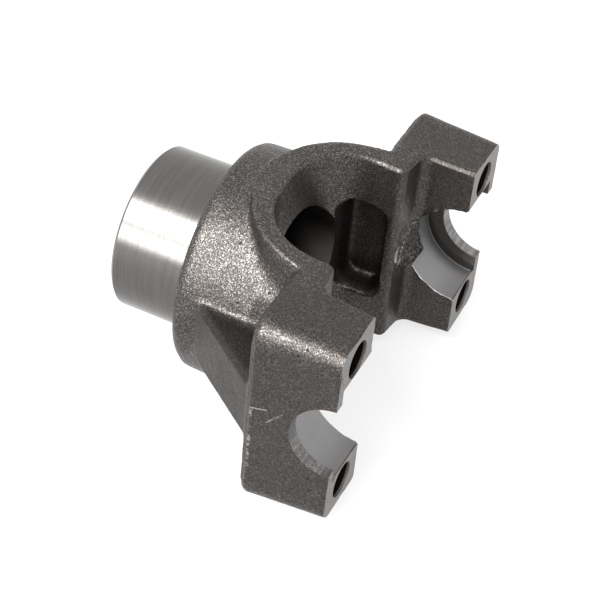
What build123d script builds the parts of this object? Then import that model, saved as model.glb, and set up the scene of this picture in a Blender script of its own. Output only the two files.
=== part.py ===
from build123d import *
from math import pi, radians, tan
import os

os.makedirs("parts", exist_ok=True)

# Frame: X is the hub axis and points to the ears, Y is the seat axis, Z is up
# The origin is where the two axes cross, in the plane of the machined ear fronts

# Bearing seats, half round, with a retaining lip and a relief groove at their outer ends
seat_d = 30.2
seat_length = 15.65
seat_chamfer = 0.6
lip_span = 92.1
lip_wall = 4.55
lip_d = 22.2
groove_width = 1.4
groove_depth = 0.5

# Clamp holes beside the seats
hole_d = 9.7
hole_land = 0.45
hole_inset = 6.45
hole_wall = 3.95

# Ears, widest at the parting plane and drafted both ways from it
ear_depth = 21.2
ear_corner = 5.5
ear_draft = 4.0
ear_opening = 2.2
land_depth = 1.6
land_draft = 32.0

# Arms and the round band that joins them
arm_gap = 41.6
arm_setback = 6.0
band_wall = 6.4
band_setback = 2.9
band_rise = 2.6

# Floor of the cavity between the arms
saddle_depth = 34.6
saddle_flat = 15.5
saddle_gap = 40.4
saddle_corner = 9.0
rim_wall = 6.8
rim_corner = 18.6
rim_overrun = 5.0

# Slope of the step from the arms out to the ears
step_run = 1.2
step_inset = 0.2

# Pockets in the arms and ribs behind them
pocket_wall = 3.0
pocket_width = 13.8
pocket_height = 30.0
pocket_depth = 6.6
pocket_corner = 5.0
pocket_draft = 14.0
rib_height = 19.0
rib_setback = 4.8
rib_inset = 0.6
rib_sink = 1.4

# Hub and collar, which stands a little proud of the ears
hub_d = 44.45
hub_length = 76.2
hub_chamfer = 0.8
collar_proud = 1.9
collar_back = 53.4
collar_draft = 2.3

# Bore for the nut and the internal spline behind it, with its tooth depth in modules
nut_bore_d = 39.8
nut_bore_depth = 47.5
spline_teeth = 28
spline_major_d = 32.0
spline_tooth = 1.178
spline_flank = 60.0
spline_lead = 1.8
spline_lead_step = 0.5
spline_lead_taper = 35.0

# Edge rounding
back_round = 3.0
step_round = 3.0
rib_round = 2.0
tip_round = 2.0
edge_round = 0.9
rim_chamfer = 0.9
collar_chamfer = 1.0

# How far bodies run into one another, and cuts past a face
overlap = 3.0
cut_past = 10.0

# How near an edge must lie to a plane to be picked
near = 0.05

# Places and sizes that follow from the ones above
seat_r = seat_d / 2
lip_inner = lip_span / 2
ear_inner = lip_inner - seat_length
ear_width = lip_span + 2 * lip_wall
hole_rise = seat_r + hole_land + hole_d / 2
ear_height = 2 * (hole_rise + hole_d / 2 + hole_wall)
hole_reach = lip_inner - hole_inset
block_back = ear_depth + land_depth
arm_end = ear_depth - arm_setback
band_centre = ear_depth - band_setback
pocket_end = arm_end + pocket_wall
pocket_start = pocket_end + pocket_width
band_radius = arm_gap / 2 + band_wall
band_back = band_centre + band_radius
band_end_height = ear_height + 2 * band_rise
pocket_floor = arm_gap / 2 + pocket_depth
collar_d = ear_height + 2 * collar_proud
collar_length = collar_back - ear_depth
rib_foot = collar_back - rib_setback
rim_depth = band_back - rim_wall
rim_height = ear_height / 2 + rim_overrun
rim_gap = arm_gap + 2 * step_inset
saddle_length = saddle_depth + cut_past
rim_length = rim_depth + cut_past
spline_module = spline_major_d / (spline_teeth + 1)
spline_depth = spline_tooth * spline_module
spline_minor_d = spline_major_d - 2 * spline_depth
spline_mean_d = (spline_major_d + spline_minor_d) / 2
spline_pitch = pi * spline_mean_d / spline_teeth
spline_space_foot = spline_pitch / 2 + 2 * spline_depth / tan(radians(spline_flank))
reach = ear_width

# Solid disc that the round band of the fork is cut from
with BuildPart() as band:
    with BuildSketch(Plane.XY.offset(-ear_height)) as band_plan:
        with Locations((-band_centre, 0)):
            Circle(band_radius)
    extrude(amount=2 * ear_height)
    with BuildSketch(Plane.XZ) as band_side:
        with BuildLine():
            Polyline(
                (-band_back, -band_end_height / 2),
                (-ear_depth, -ear_height / 2),
                (-ear_depth, ear_height / 2),
                (-band_back, band_end_height / 2),
                close=True,
            )
        make_face()
    extrude(amount=reach, both=True, mode=Mode.INTERSECT)

# Cavity between the arms, open at the top, the bottom and the front
with BuildPart() as cavity:
    for half in (1, -1):
        with BuildSketch(Plane.XY.offset(half * saddle_flat)) as saddle_low:
            with Locations((cut_past - saddle_length / 2, 0)):
                RectangleRounded(saddle_length, saddle_gap, saddle_corner)
        with BuildSketch(Plane.XY.offset(half * rim_height)) as saddle_high:
            with Locations((cut_past - rim_length / 2, 0)):
                RectangleRounded(rim_length, rim_gap, rim_corner)
        loft(ruled=True)
    with BuildSketch(Plane.XY.offset(-saddle_flat)) as saddle_middle:
        with Locations((cut_past - saddle_length / 2, 0)):
            RectangleRounded(saddle_length, saddle_gap, saddle_corner)
    extrude(amount=2 * saddle_flat)
    # Wider gap between the ears, with the rounded step from the arms
    with BuildSketch(Plane.XY.offset(-ear_height)) as ear_gap:
        with BuildLine():
            Polyline(
                (ear_depth, ear_inner + ear_opening / 2),
                (-arm_end + step_run, ear_inner - step_inset),
                (-arm_end, arm_gap / 2 - 1),
                (-arm_end, -arm_gap / 2 + 1),
                (-arm_end + step_run, -ear_inner + step_inset),
                (ear_depth, -ear_inner - ear_opening / 2),
                close=True,
            )
        make_face()
    extrude(amount=2 * ear_height)
    step_corners = cavity.edges().filter_by(Axis.Z)
    step_corners = step_corners.filter_by_position(Axis.X, -arm_end + near, -arm_end + overlap)
    fillet(step_corners, step_round)

# Drafted pocket in the inner side of one arm, mirrored to the other
with BuildPart() as pockets:
    with BuildSketch(Plane.XZ.offset(-arm_gap / 2)) as pocket_mouth:
        with Locations((-(pocket_start + pocket_end) / 2, 0)):
            RectangleRounded(pocket_start - pocket_end, pocket_height, pocket_corner)
    extrude(amount=-pocket_depth, taper=pocket_draft)
    extrude(pocket_mouth.sketch, amount=overlap)
    mirror(about=Plane.XZ)

# Rib from the collar to the back of one ear, mirrored to the other
with BuildPart() as ribs:
    with BuildSketch(Plane.XY.offset(-rib_height / 2)) as rib_plan:
        with BuildLine():
            Polyline(
                (-block_back + 1, ear_width / 2 - rib_inset),
                (-rib_foot, collar_d / 2 - rib_sink),
                (-rib_foot, arm_gap / 2 + overlap),
                (-block_back + 1, arm_gap / 2 + overlap),
                close=True,
            )
        make_face()
    extrude(amount=rib_height)
    rib_rims = ribs.faces().filter_by(Axis.Z).edges().group_by(Axis.Y)[-1]
    fillet(rib_rims, rib_round)
    mirror(about=Plane.XZ)

# The forging
with BuildPart() as yoke:
    # Collar behind the fork
    with BuildSketch(Plane.YZ.offset(-collar_back)) as collar_end:
        Circle(collar_d / 2)
    extrude(amount=collar_length, taper=-collar_draft)
    add(band.part)

    # Ears, drawn at their widest section
    with BuildSketch(Plane.YZ.offset(-ear_depth)) as ear_section:
        RectangleRounded(ear_width, ear_height, ear_corner)
    extrude(amount=ear_depth, taper=ear_draft)
    with BuildSketch(Plane.YZ.offset(-ear_depth)) as land_section:
        RectangleRounded(ear_width, ear_height, ear_corner)
    extrude(amount=-land_depth, taper=land_draft)

    # Ribs, with rounded corners where the ears' backs meet them, the collar and the band
    add(ribs.part)
    back_corners = yoke.edges().filter_by_position(Axis.X, -block_back - near, -block_back + near)
    back_corners = back_corners.filter_by(
        lambda e: abs(e.center().Y) < ear_width / 2 - 3 and abs(e.center().Z) < ear_height / 2 - 2.5
    )
    fillet(back_corners, back_round)
    add(cavity.part, mode=Mode.SUBTRACT)

    # The rims are rounded on one quarter, which is then mirrored twice
    split(bisect_by=Plane.XY, keep=Keep.TOP)
    split(bisect_by=Plane.ZX, keep=Keep.TOP)
    arm_tip = yoke.edges().filter_by(
        lambda e: abs(e.tangent_at(0.5).Z) > 0.95
        and abs(e.center().X + arm_end) < 2
        and e.center().Y < arm_gap / 2 + 2
    )
    fillet(arm_tip, tip_round)
    band_rim = yoke.edges().filter_by(
        lambda e: e.center().Z > band_end_height / 2 - 3
        and e.center().X < -ear_depth - 0.1
        and (e.center().X + band_centre) ** 2 + e.center().Y ** 2 < (band_radius - 2) ** 2
        and e.center().Y > 0.1
    )
    chamfer(band_rim, rim_chamfer)
    ear_rim = yoke.edges().filter_by(
        lambda e: e.center().Z > ear_height / 2 - 2
        and -ear_depth + 0.2 < e.center().X < -0.5
        and 5 < e.center().Y < ear_inner + 3
        and abs(e.tangent_at(0.5).Z) < 0.8
        and e.geom_type in (GeomType.LINE, GeomType.ELLIPSE)
    )
    fillet(ear_rim, edge_round)
    collar_rim = yoke.edges().filter_by_position(Axis.X, -collar_back - near, -collar_back + near)
    chamfer(collar_rim.filter_by(GeomType.CIRCLE), collar_chamfer)
    mirror(about=Plane.XY)
    mirror(about=Plane.XZ)

    # Turned hub
    with BuildSketch(Plane.YZ.offset(-hub_length)) as hub_section:
        Circle(hub_d / 2)
    extrude(amount=hub_length - collar_back + overlap)
    hub_rim = yoke.edges().filter_by_position(Axis.X, -hub_length - near, -hub_length + near)
    chamfer(hub_rim, hub_chamfer)

    add(pockets.part, mode=Mode.SUBTRACT)

    # Bearing seats between the lips, the smaller bore through the lips, and the relief grooves
    with BuildSketch(Plane.XZ) as seat_bore:
        Circle(seat_r)
    extrude(amount=lip_inner, both=True, mode=Mode.SUBTRACT)
    with BuildSketch(Plane.XZ) as lip_bore:
        Circle(lip_d / 2)
    extrude(amount=reach, both=True, mode=Mode.SUBTRACT)
    for side in (1, -1):
        with BuildSketch(Plane.XZ.offset(side * lip_inner)) as groove_ring:
            Circle(seat_r + groove_depth)
        extrude(amount=-side * groove_width, mode=Mode.SUBTRACT)
    with BuildSketch(Plane.XZ) as seat_edges:
        with Locations((0, seat_r), (0, -seat_r)):
            RegularPolygon(seat_chamfer, 4, rotation=45)
    extrude(amount=lip_inner, both=True, mode=Mode.SUBTRACT)

    # Clamp holes through the ears
    with BuildSketch(Plane.YZ.offset(1)) as hole_places:
        with GridLocations(2 * hole_reach, 2 * hole_rise, 2, 2):
            Circle(hole_d / 2)
    extrude(amount=-block_back - overlap, mode=Mode.SUBTRACT)

    # Bore for the nut
    with BuildSketch(Plane.YZ.offset(-nut_bore_depth)) as nut_bore:
        Circle(nut_bore_d / 2)
    extrude(amount=nut_bore_depth - arm_end, mode=Mode.SUBTRACT)

    # Internal spline: a bore at the tooth tips, one trapezoid for each space, a lead at the hub's end
    with BuildSketch(Plane.YZ.offset(-hub_length)) as spline_bore:
        Circle(spline_minor_d / 2)
        with PolarLocations(spline_mean_d / 2, spline_teeth):
            Trapezoid(spline_space_foot, 2 * spline_depth, spline_flank, rotation=-90)
        Circle(spline_major_d / 2, mode=Mode.INTERSECT)
    extrude(amount=hub_length - nut_bore_depth, mode=Mode.SUBTRACT)
    with BuildSketch(Plane.YZ.offset(-hub_length)) as spline_mouth:
        Circle(spline_major_d / 2 + spline_lead_step)
    extrude(amount=spline_lead, taper=spline_lead_taper, mode=Mode.SUBTRACT)

yoke.part.label = "yoke"
export_step(yoke.part, "parts/yoke.step")
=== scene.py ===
from math import cos, pi, radians, sin

import bmesh
import bpy
import numpy as np
from mathutils import Matrix, Vector


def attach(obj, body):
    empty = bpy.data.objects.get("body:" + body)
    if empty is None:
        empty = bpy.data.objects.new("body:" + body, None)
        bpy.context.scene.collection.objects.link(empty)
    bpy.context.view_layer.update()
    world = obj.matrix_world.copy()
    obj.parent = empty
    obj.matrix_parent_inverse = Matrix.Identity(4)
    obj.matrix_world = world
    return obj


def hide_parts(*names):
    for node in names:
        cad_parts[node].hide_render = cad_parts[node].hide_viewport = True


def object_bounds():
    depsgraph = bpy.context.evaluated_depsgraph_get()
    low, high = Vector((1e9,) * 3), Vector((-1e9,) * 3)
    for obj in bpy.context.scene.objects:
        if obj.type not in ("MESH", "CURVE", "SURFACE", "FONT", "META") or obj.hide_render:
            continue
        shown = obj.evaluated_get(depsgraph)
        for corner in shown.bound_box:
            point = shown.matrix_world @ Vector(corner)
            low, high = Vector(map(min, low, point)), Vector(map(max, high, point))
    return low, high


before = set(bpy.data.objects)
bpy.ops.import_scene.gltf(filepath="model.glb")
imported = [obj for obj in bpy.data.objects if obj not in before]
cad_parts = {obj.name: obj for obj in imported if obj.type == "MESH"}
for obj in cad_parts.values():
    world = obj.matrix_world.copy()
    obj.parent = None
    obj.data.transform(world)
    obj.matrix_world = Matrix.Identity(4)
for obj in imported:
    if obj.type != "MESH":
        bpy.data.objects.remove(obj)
cad_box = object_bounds()

MM = 1000.0  # millimetres in a metre

# Sizes of the machined places, in millimetres, as the solid has them
SEAT_R = 15.1
GROOVE_R = 15.6
LIP_R = 11.1
LIP_INNER = 46.05
HOLE_R = 4.85
HOLE_Y = 39.6
HOLE_Z = 20.4
HUB_R = 22.225
HUB_END = 76.2
COLLAR_BACK = 53.4
NUT_BORE_R = 19.9
NUT_BORE_FLOOR = 47.5
NUT_BORE_MOUTH = 30.0
SPLINE_OUT = 17.0

# Sizes of the forging: the parting plane, the ears' inner and outer sides and tops, the arms, and the
# pockets from their inner side, front and back
PARTING = -21.2
EAR_IN = 30.4
EAR_SIDE = 50.6
EAR_TOP = 29.2
ARM_OUT = 34.0
POCKET_IN = 21.6
POCKET_FRONT = -17.6
POCKET_BACK = -33.0
POCKET_HALF = 17.0

# Forged hollow in the far step, which breaks through the bottom of its seat
HOLLOW_INNER = 22.5
HOLLOW_OUTER = 38.6
HOLLOW_HALF = 8.0
HOLLOW_FRONT = -11.5
HOLLOW_BACK = -17.0
HOLLOW_RIDGE = 27.2

# Handling scratches on the near ear's side, from (x, z) to (x, z), and how far from its line each
# fades out
SCRATCHES = (((-21.2, 3.4), (-17.2, 4.2)), ((-17.0, 0.2), (-13.0, 4.4)))
SCRATCH_REACH = 0.28

# How far off its radius the middle of a facet may lie on a bored round face, and on a drilled one
BORED_OFF = 0.14
DRILLED_OFF = 0.12

# Mesh: how near two points are one, how short a sliver goes, and the longest edges on the skin, at
# its borders and at the flash
MERGE = 0.002
SLIVER = 0.004
SKIN_EDGE = 1.5
BORDER_EDGE = 0.6
FLASH_EDGE = 0.75

# Finishes, in the order of the material slots
FINISHES = range(5)
FORGED, TURNED, MILLED, BORED, DEEP = FINISHES

# Tones of the steel, among them painted shade, painted glints and highlights, and painted light in the
# holes
SCALE_DARK = (0.060, 0.0534, 0.0490)
SCALE_LIGHT = (0.078, 0.0700, 0.0652)
DENT = (0.014, 0.0125, 0.0115)
WORN_PEAK_AND_GLINT = (0.25, 0.238, 0.228)
PAINTED_GLINT = (0.50, 0.487, 0.475)
PAINTED_SHADE = (0.012, 0.0105, 0.0095)
TORN = (0.46, 0.45, 0.44)
TURNED_DARK = (0.108, 0.104, 0.100)
TURNED_LIGHT = (0.136, 0.132, 0.127)
WARM_DARK = (0.105, 0.096, 0.080)
MILLED_DARK = (0.150, 0.144, 0.139)
MILLED_LIGHT = (0.205, 0.199, 0.192)
SEAT_DARK = (0.200, 0.196, 0.196)
SEAT_LIGHT = (0.245, 0.241, 0.242)
SEAT_FRONT = (0.12, 0.115, 0.112)
LIP_DARK = (0.125, 0.122, 0.119)
LIP_LIGHT = (0.25, 0.246, 0.242)
LIP_WALL_DARK = (0.06, 0.057, 0.054)
LIP_WALL_LIGHT = (0.13, 0.126, 0.122)
LIP_SKIN = (0.085, 0.080, 0.076)
EDGE_HIGHLIGHT = (0.62, 0.61, 0.60)
SEAT_PIT_SHADE = (0.026, 0.024, 0.022)
DEEP_SHADE_DARK = (0.011, 0.0100, 0.0092)
DEEP_SHADE_LIGHT = (0.026, 0.0240, 0.0225)
PAINTED_MOUTH_LIGHT = (0.34, 0.310, 0.290)

# Camera, as fitted to the yoke's circles and edges: degrees, focal length and film width in millimetres
AZIMUTH, ELEVATION, ROLL = 22.044, 41.533, 6.023
LENS, FILM = 109.86, 36
CAMERA_AT = (0.1022, -0.3312, 0.3102)

# Floor: half its side and its gap under the yoke in metres, its tone and its own glow
FLOOR_HALF = 3
FLOOR_GAP = 0.0002
FLOOR_TONE = 0.22
FLOOR_GLOW = 0.73


# Shape

def wave(points, size, seed):
    """Smooth noise of about -1 to 1: the mean of twelve plane waves sin(2 pi p.d / L + phase), with
    each length L within a third of size, and its direction d and phase drawn from the seed."""
    draw = np.random.default_rng(seed)
    ways = draw.normal(size=(12, 3))
    ways /= np.linalg.norm(ways, axis=1)[:, None] * size * draw.uniform(0.75, 1.33, (12, 1))
    return 2.2 * np.sin(2 * pi * points @ ways.T + draw.uniform(0, 2 * pi, 12)).mean(1)


def classify(centres, normals):
    """Finish of each face, from where it lies: |y| and |z| fold the four quarters into one, and a
    round face is known by its distance from its own axis."""
    x, y, z = centres[:, 0], np.abs(centres[:, 1]), np.abs(centres[:, 2])
    nx, ny = normals[:, 0], np.abs(normals[:, 1])
    hub_r = np.hypot(y, z)
    seat_r = np.hypot(x, z)
    hole_r = np.hypot(y - HOLE_Y, z - HOLE_Z)
    finish = np.full(len(x), FORGED)
    finish[(x > -0.02) & (nx > 0.99)] = MILLED
    in_seat = (y < LIP_INNER + 0.01) & (y > EAR_IN - 4.5) & (x > -GROOVE_R - 0.1)
    bore = (np.abs(seat_r - SEAT_R) < BORED_OFF) | (np.abs(seat_r - GROOVE_R) < BORED_OFF)
    finish[in_seat & bore & (ny < 0.3)] = BORED
    finish[in_seat & (y > LIP_INNER - 1.6) & (seat_r < GROOVE_R + 0.1) & (ny > 0.9)] = BORED
    at_mouth = (x > -0.7) & (z > SEAT_R - 0.1) & (z < SEAT_R + 0.8)
    finish[in_seat & at_mouth & (nx > 0.5) & (nx < 0.9) & (ny < 0.1)] = BORED
    finish[(np.abs(seat_r - LIP_R) < BORED_OFF) & (y > LIP_INNER) & (ny < 0.3)] = BORED
    drilled = (np.abs(hole_r - HOLE_R) < DRILLED_OFF) & (np.abs(nx) < 0.1)
    finish[drilled & (x > PARTING - 3)] = DEEP
    finish[(x < -COLLAR_BACK - 0.01) & (hub_r > HUB_R - 1.2)] = TURNED
    finish[(x < -COLLAR_BACK + 0.02) & (nx < -0.9)] = TURNED
    in_nut_bore = (x < -NUT_BORE_MOUTH) & (x > -NUT_BORE_FLOOR - 0.1)
    finish[in_nut_bore & (hub_r < NUT_BORE_R + 0.01)] = DEEP
    finish[(x < -NUT_BORE_FLOOR + 0.1) & (hub_r < SPLINE_OUT)] = DEEP
    return finish


def mark(bm):
    """Writes each face's finish into its material slot."""
    bm.normal_update()
    centres = np.array([f.calc_center_median()[:] for f in bm.faces])
    normals = np.array([f.normal[:] for f in bm.faces])
    for face, finish in zip(bm.faces, classify(centres, normals)):
        face.material_index = int(finish)


def cut_to_triangles(bm):
    """Divides each face of more than three corners."""
    bmesh.ops.triangulate(bm, faces=[f for f in bm.faces if len(f.verts) > 3])


def refine(bm, longest, wanted):
    """Cuts the wanted edges in two, the longest ones first, until few are longer than longest."""
    for share in (16, 8, 4, 2, 1, 1):
        limit = share * longest
        long_edges = [e for e in bm.edges if e.calc_length() > limit and wanted(e)]
        bmesh.ops.subdivide_edges(bm, edges=long_edges, cuts=1)
        cut_to_triangles(bm)


def forged_edge(edge):
    """True if a face on either side of the edge is forging skin."""
    return any(f.material_index == FORGED for f in edge.link_faces)


def border_edge(edge):
    """True if the edge lies between the forging skin and a machined face."""
    kinds = {f.material_index for f in edge.link_faces}
    return FORGED in kinds and len(kinds) > 1


def near_parting(edge):
    """True if the edge lies within 1.6 mm of the parting plane, on the ears' outer sides and tops."""
    a, b = (v.co for v in edge.verts)
    return (
        abs(a.x - PARTING) < 1.6
        and abs(b.x - PARTING) < 1.6
        and max(abs(a.y) / EAR_SIDE, abs(a.z) / EAR_TOP) > 0.97
        and forged_edge(edge)
    )


def inside_arm(vertex):
    """True on the pockets and the steps, where the forging blends from face to face."""
    x, y, z = vertex.co
    return -34.5 < x < -10.5 and 19.8 < abs(y) < ARM_OUT and abs(z) < 27.0


def soften(bm, rounds, wanted=lambda vertex: True):
    """Rounds the skin's edges by moving each wanted vertex towards its neighbours' middle."""
    skin = [v for v in bm.verts
            if wanted(v) and all(f.material_index == FORGED for f in v.link_faces)]
    axes = {"use_axis_x": True, "use_axis_y": True, "use_axis_z": True}
    for _ in range(rounds):
        bmesh.ops.smooth_vert(bm, verts=skin, factor=0.4, **axes)


def drop_folds(bm):
    """Takes out the pairs of faces that lie back to back on the same three corners, where a sliver
    folded flat. Their neighbours meet on the same edge, so the surface stays closed."""
    groups = {}
    for face in bm.faces:
        groups.setdefault(frozenset(face.verts), []).append(face)
    folded = [face for group in groups.values() for face in group[len(group) % 2:]]
    bmesh.ops.delete(bm, geom=folded, context="FACES")


def read(collection, key, width, kind=np.float32):
    """One property of all vertices, edges, faces or corners as an array of rows."""
    values = np.empty(len(collection) * width, kind)
    collection.foreach_get(key, values)
    return values.reshape(-1, width)


def touched(mesh):
    """For each finish, which vertices touch a face of it."""
    corners = read(mesh.loops, "vertex_index", 1, np.int32).reshape(-1, 3)
    finish = read(mesh.polygons, "material_index", 1, np.int32)[:, 0]
    touch = np.zeros((len(FINISHES), len(mesh.vertices)), bool)
    for corner in range(3):
        touch[finish, corners[:, corner]] = True
    return touch


def roughen(mesh):
    """Sinks the skin by d = 0.10 + 0.06 w(16) + 0.035 w(6) + 0.02 w(2.6) mm along its normals, so
    that it stays inside the solid's faces. Along the parting plane d fades out in places, which leaves
    a broken flash standing. The milled faces' edges are cut back by up to 0.8 mm, and the seats end in
    a torn edge."""
    p = read(mesh.vertices, "co", 3).astype(float)
    n = read(mesh.vertex_normals, "vector", 3)
    touch = touched(mesh)
    machined = touch[[TURNED, MILLED, BORED, DEEP]].any(0)
    skin = touch[FORGED] & ~machined
    x, y, z = p.T
    depth = 0.10 + 0.06 * wave(p, 16, 1) + 0.035 * wave(p, 6, 2) + 0.02 * wave(p, 2.6, 3)
    outside = np.maximum(np.abs(y) / EAR_SIDE, np.abs(z) / EAR_TOP) > 0.965
    whole = np.clip(0.15 + 0.9 * wave(p, 5, 4) + 0.5 * wave(p, 2.2, 9), 0, 1)
    ridge = np.clip(1.2 - np.abs(x - PARTING), 0, 1) * outside
    depth = np.clip(depth, 0.01, None) * (1 - whole * ridge)
    move = -depth[:, None] * n * skin[:, None]
    # The milled face ends where the skin's own waves cut it
    border = touch[FORGED] & touch[MILLED] & ~touch[BORED] & ~touch[DEEP] & (x > -0.05)
    ragged = np.clip(0.22 + 0.14 * wave(p, 3.0, 5) + 0.30 * wave(p, 9, 6), 0, 0.8)
    inner = np.abs(y) < 36
    level = (np.abs(z) > 23) & ~inner
    move[:, 1] += border * ragged * np.where(inner, np.sign(y), -np.sign(y) * ~level)
    move[:, 2] -= border * ragged * np.sign(z) * level
    # The seat breaks out into the step with a torn edge
    seat_end = touch[FORGED] & touch[BORED] & (np.abs(y) < EAR_IN + 1.5)
    move[:, 1] += seat_end * (0.22 * wave(p, 2.2, 7) + 0.2 * wave(p, 6, 8))
    mesh.vertices.foreach_set("co", (p + move).astype(np.float32).ravel())
    mesh.update()


def crease(mesh):
    """Smooth shading within one finish, and a sharp line between two finishes and at real corners:
    where the faces turn by more than 24 degrees on machined places and 62 on the skin."""
    mesh.polygons.foreach_set("use_smooth", np.ones(len(mesh.polygons), bool))
    edge_of = read(mesh.loops, "edge_index", 1, np.int32)[:, 0]
    face_of = np.repeat(np.arange(len(mesh.polygons)), 3)
    order = np.argsort(edge_of, kind="stable")
    edge_of, face_of = edge_of[order], face_of[order]
    pair = np.flatnonzero(edge_of[1:] == edge_of[:-1])
    first, second, edge = face_of[pair], face_of[pair + 1], edge_of[pair]
    n = read(mesh.polygons, "normal", 3)
    finish = read(mesh.polygons, "material_index", 1, np.int32)[:, 0]
    turn = np.degrees(np.arccos(np.clip((n[first] * n[second]).sum(1), -1, 1)))
    limit = np.where(finish[first] == FORGED, 62, 24)
    sharp = np.ones(len(mesh.edges), bool)
    sharp[edge] = (finish[first] != finish[second]) | (turn > limit)
    mesh.edges.foreach_set("use_edge_sharp", sharp)
    mesh.update()


def build_forging(node, materials):
    """The visible forging: the solid's own surface, cut finer, with the skin's waves, its flash and
    its ragged edges."""
    mesh = node.data.copy()
    mesh.name = "forging"
    mesh.materials.clear()
    bm = bmesh.new()
    bm.from_mesh(mesh)
    bmesh.ops.scale(bm, vec=(MM, MM, MM), verts=bm.verts)
    bmesh.ops.remove_doubles(bm, verts=bm.verts, dist=MERGE)
    bmesh.ops.dissolve_degenerate(bm, edges=bm.edges, dist=SLIVER)
    cut_to_triangles(bm)
    mark(bm)
    refine(bm, SKIN_EDGE, forged_edge)
    refine(bm, BORDER_EDGE, border_edge)
    refine(bm, FLASH_EDGE, near_parting)
    mark(bm)
    soften(bm, 2)
    soften(bm, 9, inside_arm)
    drop_folds(bm)
    bm.to_mesh(mesh)
    bm.free()
    for name in [a.name for a in mesh.attributes if a.name.startswith("custom_normal")]:
        mesh.attributes.remove(mesh.attributes[name])
    for material in materials:
        mesh.materials.append(material)
    roughen(mesh)
    crease(mesh)
    mesh.transform(Matrix.Scale(1 / MM, 4))
    forging = bpy.data.objects.new("forging", mesh)
    bpy.context.scene.collection.objects.link(forging)
    return forging


# Finishes

class Field:
    """A value that varies over the surface. Each operator adds one Math node."""

    def __init__(self, finish, socket):
        self.finish = finish
        self.socket = socket

    def math(self, operation, *values):
        inputs = dict(enumerate(values))
        return self.finish.node("ShaderNodeMath", {"operation": operation}, inputs)

    def __add__(self, other):
        return self.math("ADD", self, other)

    def __radd__(self, other):
        return self.math("ADD", other, self)

    def __sub__(self, other):
        return self.math("SUBTRACT", self, other)

    def __rsub__(self, other):
        return self.math("SUBTRACT", other, self)

    def __mul__(self, other):
        return self.math("MULTIPLY", self, other)

    def __rmul__(self, other):
        return self.math("MULTIPLY", other, self)

    def __truediv__(self, other):
        return self.math("DIVIDE", self, other)

    def __rtruediv__(self, other):
        return self.math("DIVIDE", other, self)

    def __abs__(self):
        return self.math("ABSOLUTE", self)

    def least(self, other):
        return self.math("MINIMUM", self, other)

    def most(self, other):
        return self.math("MAXIMUM", self, other)

    def root(self):
        return self.math("SQRT", self)

    def ramp(self, start, end):
        """0 at start, 1 at end, smooth between."""
        settings = {"interpolation_type": "SMOOTHSTEP"}
        inputs = {"Value": self, "From Min": start, "From Max": end}
        return self.finish.node("ShaderNodeMapRange", settings, inputs, "Result")


def span(a, b):
    """Length of the line whose two square sides are a and b."""
    return (a * a + b * b).root()


class Finish:
    """A procedural material. Its coordinates are Object ones, in millimetres of the shared frame."""

    def __init__(self, name, metallic):
        self.material = bpy.data.materials.new(name)
        self.material.use_nodes = True
        self.tree = self.material.node_tree
        self.tree.nodes.clear()
        self.shader = self.add("ShaderNodeBsdfPrincipled", {}, {"Metallic": metallic})
        surface = Field(self, self.shader.outputs[0])
        self.add("ShaderNodeOutputMaterial", {}, {"Surface": surface})
        metres = self.node("ShaderNodeTexCoord", {}, {}, "Object")
        inputs = {0: metres, "Scale": MM}
        self.point = self.node("ShaderNodeVectorMath", {"operation": "SCALE"}, inputs)
        split = self.add("ShaderNodeSeparateXYZ", {}, {0: self.point})
        self.x, self.y, self.z = (Field(self, out) for out in split.outputs)

    def plug(self, socket, value):
        """Links a Field to a socket, or sets the socket's own value."""
        if isinstance(value, Field):
            self.tree.links.new(value.socket, socket)
        else:
            socket.default_value = value

    def add(self, kind, settings, inputs):
        """Adds a node of any kind: its settings first, then its sockets' values and links."""
        node = self.tree.nodes.new(kind)
        for key, value in settings.items():
            setattr(node, key, value)
        for key, value in inputs.items():
            self.plug(node.inputs[key], value)
        return node

    def node(self, kind, settings, inputs, output=0):
        """Adds a node and returns one of its outputs as a Field."""
        return Field(self, self.add(kind, settings, inputs).outputs[output])

    def vector(self, x, y, z):
        return self.node("ShaderNodeCombineXYZ", {}, {0: x, 1: y, 2: z})

    def noise(self, size, detail=2.0, rough=0.5, at=None):
        """Noise from 0 to 1 with lumps of that size in millimetres."""
        inputs = {"Vector": at or self.point, "Scale": 1.0 / size}
        inputs.update({"Detail": detail, "Roughness": rough})
        return self.node("ShaderNodeTexNoise", {}, inputs)

    def cells(self, size):
        """Distance to the nearest of points scattered about that many millimetres apart."""
        inputs = {"Vector": self.point, "Scale": 1.0 / size}
        return self.node("ShaderNodeTexVoronoi", {}, inputs, "Distance")

    def mix(self, factor, first, second):
        """Colour between the first and the second."""
        first, second = ((*c, 1.0) if isinstance(c, tuple) else c for c in (first, second))
        inputs = {0: factor, 6: first, 7: second}
        return self.node("ShaderNodeMix", {"data_type": "RGBA"}, inputs, 2)

    def feed(self, socket, value):
        self.plug(self.shader.inputs[socket], value)

    def bump(self, height):
        """Relief, with its height in millimetres."""
        inputs = {"Height": height, "Distance": 1 / MM, "Strength": 1.0}
        self.feed("Normal", self.node("ShaderNodeBump", {}, inputs))


def torn_hollow(f):
    """Where the forging's hollow was left in the far step and the bottom of its seat, from 0 to 1,
    the bright torn grains in it, and the ridge that crosses it."""
    wander = f.noise(2.4, 3.0, 0.6)
    end = HOLLOW_OUTER - f.y + 1.6 * (wander - 0.5)
    side = HOLLOW_HALF - abs(f.z) + 1.2 * (wander - 0.5)
    pit = end.least(side).ramp(0.0, 0.35) * (HOLLOW_FRONT - f.x).ramp(0.0, 0.4)
    pit = pit * (f.x - HOLLOW_BACK).ramp(0.0, 0.4)
    pit = pit * (f.y - HOLLOW_INNER).ramp(0.0, 1.5)
    across = (f.y - HOLLOW_RIDGE) * 0.85 - f.z * 0.52 + 1.5 * (wander - 0.5)
    ridge = pit * (1 - abs(across).ramp(0.3, 1.5))
    grains = pit * f.noise(0.75, 3.0, 0.75).ramp(0.50, 0.58) * (0.35 + 0.65 * ridge)
    return pit, grains, ridge


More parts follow.
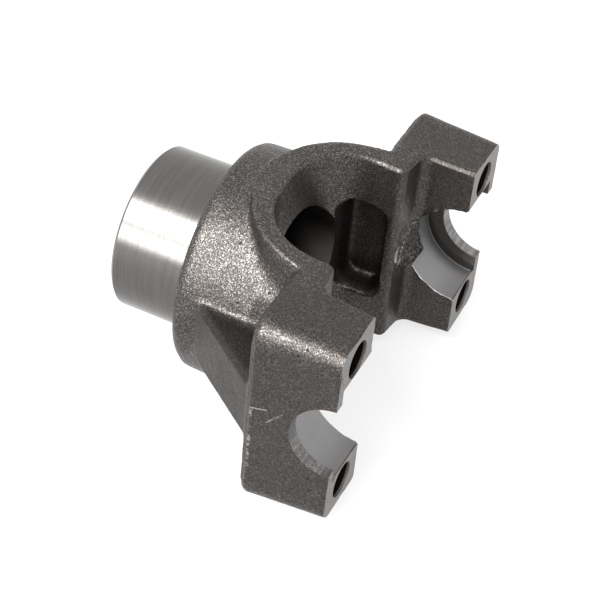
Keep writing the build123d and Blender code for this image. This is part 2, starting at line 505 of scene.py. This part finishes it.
def scratch(f, start, end):
    """A straight scratch on an ear's side, between two places (x, z): 1 on the nearest point of its
    line, and fading out at its reach."""
    along = Vector(end) - Vector(start)
    x, z = f.x - start[0], f.z - start[1]
    share = ((x * along.x + z * along.y) / along.length_squared).most(0.0).least(1.0)
    away = span(x - share * along.x, z - share * along.y)
    return 1 - away.ramp(0.3 * SCRATCH_REACH, SCRATCH_REACH)


def forged_skin():
    """Forging skin, cleaned by shot blast: dark scale, a relief of fine dents, and brighter grains
    rubbed on its peaks by wear, with painted glints where the light falls, and painted shade in the
    pockets, on the backs and in the hollow."""
    f = Finish("forged_skin", metallic=0.92)
    grain = f.noise(0.50, 2.0, 0.7)
    fine = f.noise(0.30, 1.0, 0.6)
    dents = f.cells(0.62)
    lumps = f.noise(1.6, 3.0, 0.55)
    patches = f.noise(15.0, 3.0, 0.55)
    # Painted glints and brighter grains where the light falls: behind the parting plane on the arms,
    # and on the ears' outer corners; the relief is roughest there too
    corner = (abs(f.y) - 42.0).ramp(0.0, 7.0) * (abs(f.z) - 20.0).ramp(0.0, 7.0)
    inner = (ARM_OUT - abs(f.y)).ramp(0.0, 4.0)
    lit_and_blasted = (inner * (PARTING - f.x).ramp(-12.0, 6.0)).most(0.8 * corner)
    # Painted shade on the backs of the ears, on the ribs and in the pockets
    backs = (PARTING - 1.2 - f.x).ramp(0.0, 1.5) * (1 - inner)
    pocket = (abs(f.y) - POCKET_IN).ramp(0.0, 2.0) * (POCKET_HALF - abs(f.z)).ramp(0.0, 2.0)
    pocket = pocket * (f.x - POCKET_BACK).ramp(0.0, 1.0) * (POCKET_FRONT - f.x).ramp(0.0, 1.0)
    painted_shade = (0.5 * backs).most(0.65 * pocket * inner)
    peak = (grain + 0.25 * (lumps - 0.5)).ramp(0.50, 0.70)
    glint_specks = fine.ramp(0.60, 0.72) * lit_and_blasted
    # The flash stands along the parting line on the ears' outer sides, broken into pieces
    flash = 1 - abs(f.x - PARTING - 0.3 * lumps).ramp(0.1, 0.8)
    flash = flash * abs(f.y).ramp(EAR_SIDE - 0.75, EAR_SIDE - 0.3)
    flash = flash * f.noise(2.2, 4.0, 0.8).ramp(0.50, 0.60) * (12.0 - f.z).ramp(0.0, 10.0)
    # Handling scratches on the near ear's side, and small pits all over, which get the painted shade
    # tone
    scratches = scratch(f, *SCRATCHES[0]).most(0.6 * scratch(f, *SCRATCHES[1]))
    scratches = scratches * (-49.0 - f.y).ramp(0.0, 0.3) * grain.ramp(0.35, 0.50)
    pock = 1 - f.cells(4.5).ramp(0.05, 0.10)
    pit, torn, ridge = torn_hollow(f)
    tone = f.mix(patches, SCALE_DARK, SCALE_LIGHT)
    skin = f.mix(0.65 * (0.55 * grain + 0.45 * fine).ramp(0.62, 0.36), tone, DENT)
    # Peaks rubbed bright by wear, made brighter still as a painted glint where the light falls
    skin = f.mix(peak * (0.12 + 0.10 * patches + 0.18 * lit_and_blasted), skin, WORN_PEAK_AND_GLINT)
    # Painted glints where the light falls
    skin = f.mix(0.4 * glint_specks, skin, PAINTED_GLINT)
    # Painted shade in the hollow, on the backs, on the ribs, in the pockets and in the small pits
    skin = f.mix((0.7 * pit).most(painted_shade).most(0.7 * pock), skin, PAINTED_SHADE)
    bright = (0.6 * flash).most(0.8 * torn).most(0.6 * scratches)
    f.feed("Base Color", f.mix(bright, skin, TORN))
    f.feed("Roughness", 0.41 - 0.11 * peak - 0.08 * glint_specks + 0.06 * (1 - patches) - 0.1 * torn)
    f.bump((0.045 + 0.02 * lit_and_blasted) * grain + 0.02 * fine + 0.04 * dents.least(0.7)
           + 0.06 * lumps - 0.8 * pit + 0.7 * ridge - 0.1 * pock)
    return f.material


def turned_steel():
    """Hub turned to a satin finish: fine rings round the hub's axis."""
    f = Finish("turned_steel", metallic=1.0)
    rings = f.noise(1.0, 2.0, 0.7, f.vector(f.x * 5.0, span(f.y, f.z) * 5.0, 0.0))
    scores = f.noise(1.0, 3.0, 0.6, f.vector(f.x * 1.6, f.y * 0.06, f.z * 0.06))
    faint = f.noise(7.0, 3.0, 0.6)
    tone = f.mix(scores.ramp(0.2, 0.8), TURNED_DARK, TURNED_LIGHT)
    # Warmer and darker in patches, more so towards the bottom, and darker at the hub's end
    low = (-6.0 - f.z).ramp(0.0, 14.0)
    warm_dark_patches = (low * faint.ramp(0.3, 0.7) * 0.5).most(faint.ramp(0.55, 0.8) * 0.3)
    edge = (1 - (f.x + HUB_END).ramp(0.9, 1.7)) * 0.15
    f.feed("Base Color", f.mix(warm_dark_patches.most(edge), tone, WARM_DARK))
    f.feed("Roughness", 0.17 + 0.09 * rings + 0.04 * faint)
    f.bump(0.006 * rings + 0.002 * scores)
    return f.material


def milled_steel():
    """Ears' front faces, milled flat: faint arcs of a cutter whose middle passed 60 mm below."""
    f = Finish("milled_steel", metallic=1.0)
    lines = f.noise(1.0, 2.0, 0.6, f.vector(span(f.y, f.z + 60.0) * 2.4, 0.0, 0.0))
    blotch = f.noise(3.0, 3.0, 0.6)
    speck = f.noise(0.6, 2.0, 0.6)
    f.feed("Base Color", f.mix(blotch.ramp(0.3, 0.75), MILLED_DARK, MILLED_LIGHT))
    f.feed("Roughness", 0.34 + 0.12 * blotch + 0.06 * lines)
    f.bump(0.008 * lines + 0.012 * speck)
    return f.material


def bored_steel():
    """Bearing seats and lips, bored to a satin finish: rings round the seat axis, streaks along the
    lips."""
    f = Finish("bored_steel", metallic=1.0)
    rings = f.noise(1.0, 2.0, 0.6, f.vector(0.0, f.y * 4.5, 0.0))
    blotch = f.noise(4.0, 3.0, 0.6)
    grain = f.noise(0.55, 2.0, 0.7)
    along = abs(f.y)
    lip = along.ramp(LIP_INNER - 0.05, LIP_INNER + 0.05)
    wall = (along - LIP_INNER + 0.5).ramp(0.0, 0.1) * (span(f.x, f.z) - LIP_R).ramp(0.1, 0.4)
    streaks = f.noise(1.0, 3.0, 0.6, f.vector(f.x * 1.3, f.y * 0.12, f.z * 1.3))
    # Painted highlights: a bright line where the seats' inner ends lie on the drafted inner sides of
    # the ears, and one on the groove's edge
    inner_end_highlight = 1 - (along - (EAR_IN + 0.33) - 0.037 * f.x).ramp(0.10, 0.42)
    groove_edge_highlight = 1 - abs(along - (LIP_INNER - 1.55)).ramp(0.08, 0.26)
    tone = f.mix(blotch, SEAT_DARK, SEAT_LIGHT)
    tone = f.mix(0.45 * (f.x + 9.0).ramp(0.0, 9.0), tone, SEAT_FRONT)
    lip_tone = f.mix(streaks.ramp(0.35, 0.65), LIP_DARK, LIP_LIGHT)
    tone = f.mix(lip * (1 - wall), tone, lip_tone)
    tone = f.mix(wall, tone, f.mix(streaks, LIP_WALL_DARK, LIP_WALL_LIGHT))
    # The near lip wasn't cleaned up all round: dark specks of skin are left in its lower half
    left = lip * (1 - wall) * (-10.0 - f.y).ramp(0.0, 1.0) * (5.0 - f.z).ramp(0.0, 8.0)
    tone = f.mix(0.75 * left * grain.ramp(0.38, 0.66), tone, LIP_SKIN)
    pit, torn, ridge = torn_hollow(f)
    # Painted highlights on the seat's inner end and the groove's edge
    tone = f.mix(inner_end_highlight.most(groove_edge_highlight), tone, EDGE_HIGHLIGHT)
    # The hollow in the seat's bottom is painted dark as shade
    tone = f.mix(pit, tone, SEAT_PIT_SHADE)
    f.feed("Base Color", f.mix(torn, tone, TORN))
    f.feed("Roughness", 0.30 + 0.08 * rings + 0.08 * blotch + 0.1 * wall + 0.15 * pit)
    f.bump(0.006 * rings + 0.05 * left * grain + 0.01 * streaks * lip
           - 0.8 * pit + 0.7 * ridge + 0.2 * torn)
    return f.material


def deep_steel():
    """Drilled holes, nut bore and spline: cut steel painted almost black as shade, with painted light
    at the holes' mouths.
    """
    f = Finish("deep_steel", metallic=1.0)
    rings = f.noise(1.0, 2.0, 0.6, f.vector(f.x * 3.0, 0.0, 0.0))
    blotch = f.noise(3.0, 3.0, 0.6)
    # Painted light at the holes' mouths, and on the lower half of the nut bore, growing towards its
    # open end
    lit_lower_bore = (f.x + (NUT_BORE_FLOOR - 1.5)).ramp(0.0, 12.0) * (-NUT_BORE_MOUTH - f.x).ramp(0.0, 0.5)
    lit_mouths = (f.x + 0.9).ramp(0.0, 0.3).most(lit_lower_bore * (6.0 - f.z).ramp(0.0, 14.0))
    f.feed("Base Color", f.mix(lit_mouths, f.mix(blotch, DEEP_SHADE_DARK, DEEP_SHADE_LIGHT), PAINTED_MOUTH_LIGHT))
    f.feed("Roughness", 0.38 + 0.1 * rings + 0.1 * blotch)
    f.bump(0.012 * rings)
    return f.material


steels = [make() for make in (forged_skin, turned_steel, milled_steel, bored_steel, deep_steel)]
forging = build_forging(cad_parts["yoke"], steels)
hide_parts("yoke")
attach(forging, "root")


# Stage, light and camera

def add_floor():
    """A plain white sheet under the yoke, far larger than the view."""
    mesh = bpy.data.meshes.new("floor")
    low = cad_box[0][2] - FLOOR_GAP
    corners = [(x * FLOOR_HALF, y * FLOOR_HALF, low) for x, y in ((-1, -1), (1, -1), (1, 1), (-1, 1))]
    mesh.from_pydata(corners, [], [(0, 1, 2, 3)])
    floor = bpy.data.objects.new("floor", mesh)
    bpy.context.scene.collection.objects.link(floor)
    paper = bpy.data.materials.new("white_paper")
    paper.use_nodes = True
    shader = paper.node_tree.nodes["Principled BSDF"]
    shader.inputs["Base Color"].default_value = (FLOOR_TONE, FLOOR_TONE, FLOOR_TONE, 1)
    shader.inputs["Roughness"].default_value = 0.9
    shader.inputs["Emission Color"].default_value = (1, 1, 1, 1)
    shader.inputs["Emission Strength"].default_value = FLOOR_GLOW
    mesh.materials.append(paper)


def add_light(name, direction, distance, width, height, power):
    """A soft box in that direction, turned to face the yoke."""
    light = bpy.data.lights.new(name, "AREA")
    light.shape = "RECTANGLE"
    light.size = width
    light.size_y = height
    light.energy = power
    lamp = bpy.data.objects.new(name, light)
    way = Vector(direction).normalized()
    lamp.location = Vector((-0.01, 0, 0)) + way * distance
    lamp.rotation_euler = way.to_track_quat("Z", "Y").to_euler()
    bpy.context.scene.collection.objects.link(lamp)


def add_world(strength):
    """Even pale light from all round."""
    world = bpy.data.worlds.new("studio")
    world.use_nodes = True
    background = world.node_tree.nodes["Background"]
    background.inputs["Color"].default_value = (1, 1, 1, 1)
    background.inputs["Strength"].default_value = strength
    bpy.context.scene.world = world


def add_camera():
    """The photograph's camera: it looks back along its own Z from that azimuth and elevation, and is
    then rolled about that line."""
    azimuth, elevation, roll = radians(AZIMUTH), radians(ELEVATION), radians(ROLL)
    back = Vector((sin(azimuth) * cos(elevation), -cos(azimuth) * cos(elevation), sin(elevation)))
    right = Vector((cos(azimuth), sin(azimuth), 0))
    up = back.cross(right)
    side = cos(roll) * right + sin(roll) * up
    top = -sin(roll) * right + cos(roll) * up
    data = bpy.data.cameras.new("camera")
    data.sensor_fit = "HORIZONTAL"
    data.sensor_width = FILM
    data.lens = LENS
    data.clip_start = 0.01
    camera = bpy.data.objects.new("camera", data)
    turn = Matrix((side, top, back)).transposed()
    camera.matrix_world = Matrix.Translation(CAMERA_AT) @ turn.to_4x4()
    bpy.context.scene.collection.objects.link(camera)
    bpy.context.scene.camera = camera


add_floor()
add_world(strength=1.3)
add_light("main", (-0.28, -0.63, 0.72), distance=1.1, width=0.8, height=0.5, power=19.5)
add_light("low_left", (-0.28, -0.90, 0.32), distance=1.1, width=0.8, height=0.36, power=10.0)
add_camera()
bpy.context.scene.view_settings.view_transform = "Standard"
